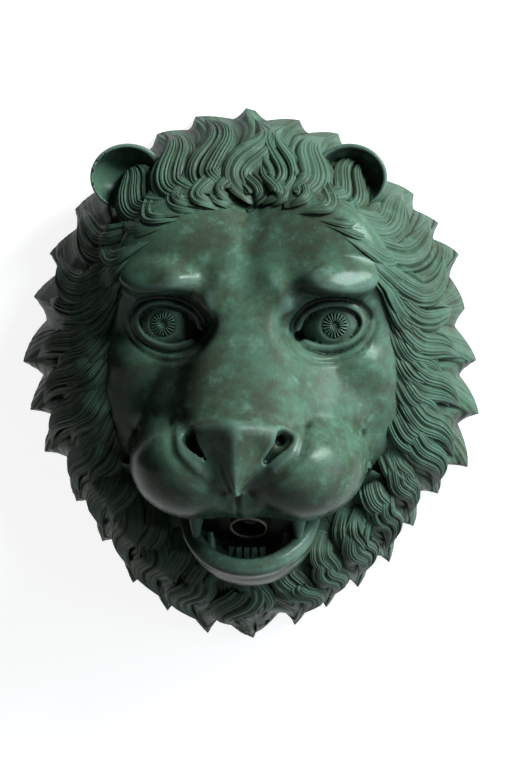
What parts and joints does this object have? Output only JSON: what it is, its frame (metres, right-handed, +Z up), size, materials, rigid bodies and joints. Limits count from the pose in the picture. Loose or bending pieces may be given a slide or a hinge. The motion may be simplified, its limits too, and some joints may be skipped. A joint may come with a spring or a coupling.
{
  "type": "lion head wall fountain",
  "caption": "Hollow bronze lion mask with an open mouth and flame-tipped mane that hangs on a wall and pours water from a bent pipe between its jaws.",
  "frame": {"origin": "middle of the four wall bosses, on the wall plane", "axes": "+Z up, the face looks along -Y, the wall is the plane Y = 0"},
  "size_m": [0.4553, 0.222, 0.5316],
  "materials": {
    "patina_bronze": "waxed green patina",
    "copper": "dull copper with a worn rim",
    "brass": "dull",
    "fibre": "matt",
    "steel": "zinc"
  },
  "bodies": {
    "head": {"face_mask": "patina_bronze", "lower_jaw": "patina_bronze", "mane_crown": "patina_bronze", "mane_right": "patina_bronze", "mane_beard": "patina_bronze", "mane_left": "patina_bronze", "left_ear": "patina_bronze", "right_ear": "patina_bronze", "upper_canines": "patina_bronze", "lower_canines": "patina_bronze", "lower_incisors": "patina_bronze", "spout_pipe": "copper", "union_tail": "brass", "union_washer": "fibre", "cross_bar": "patina_bronze", "pipe_clip": "steel", "clip_screws": "steel", "wall_bosses": "patina_bronze"},
    "nut": {"union_nut": "brass"}
  },
  "joints": [
    {"name": "nut_turn", "type": "hinge", "parent": "head", "child": "nut", "pos_m": [0, -0.0155, -0.089], "axis": [0, 1, 0], "continuous": true}
  ]
}
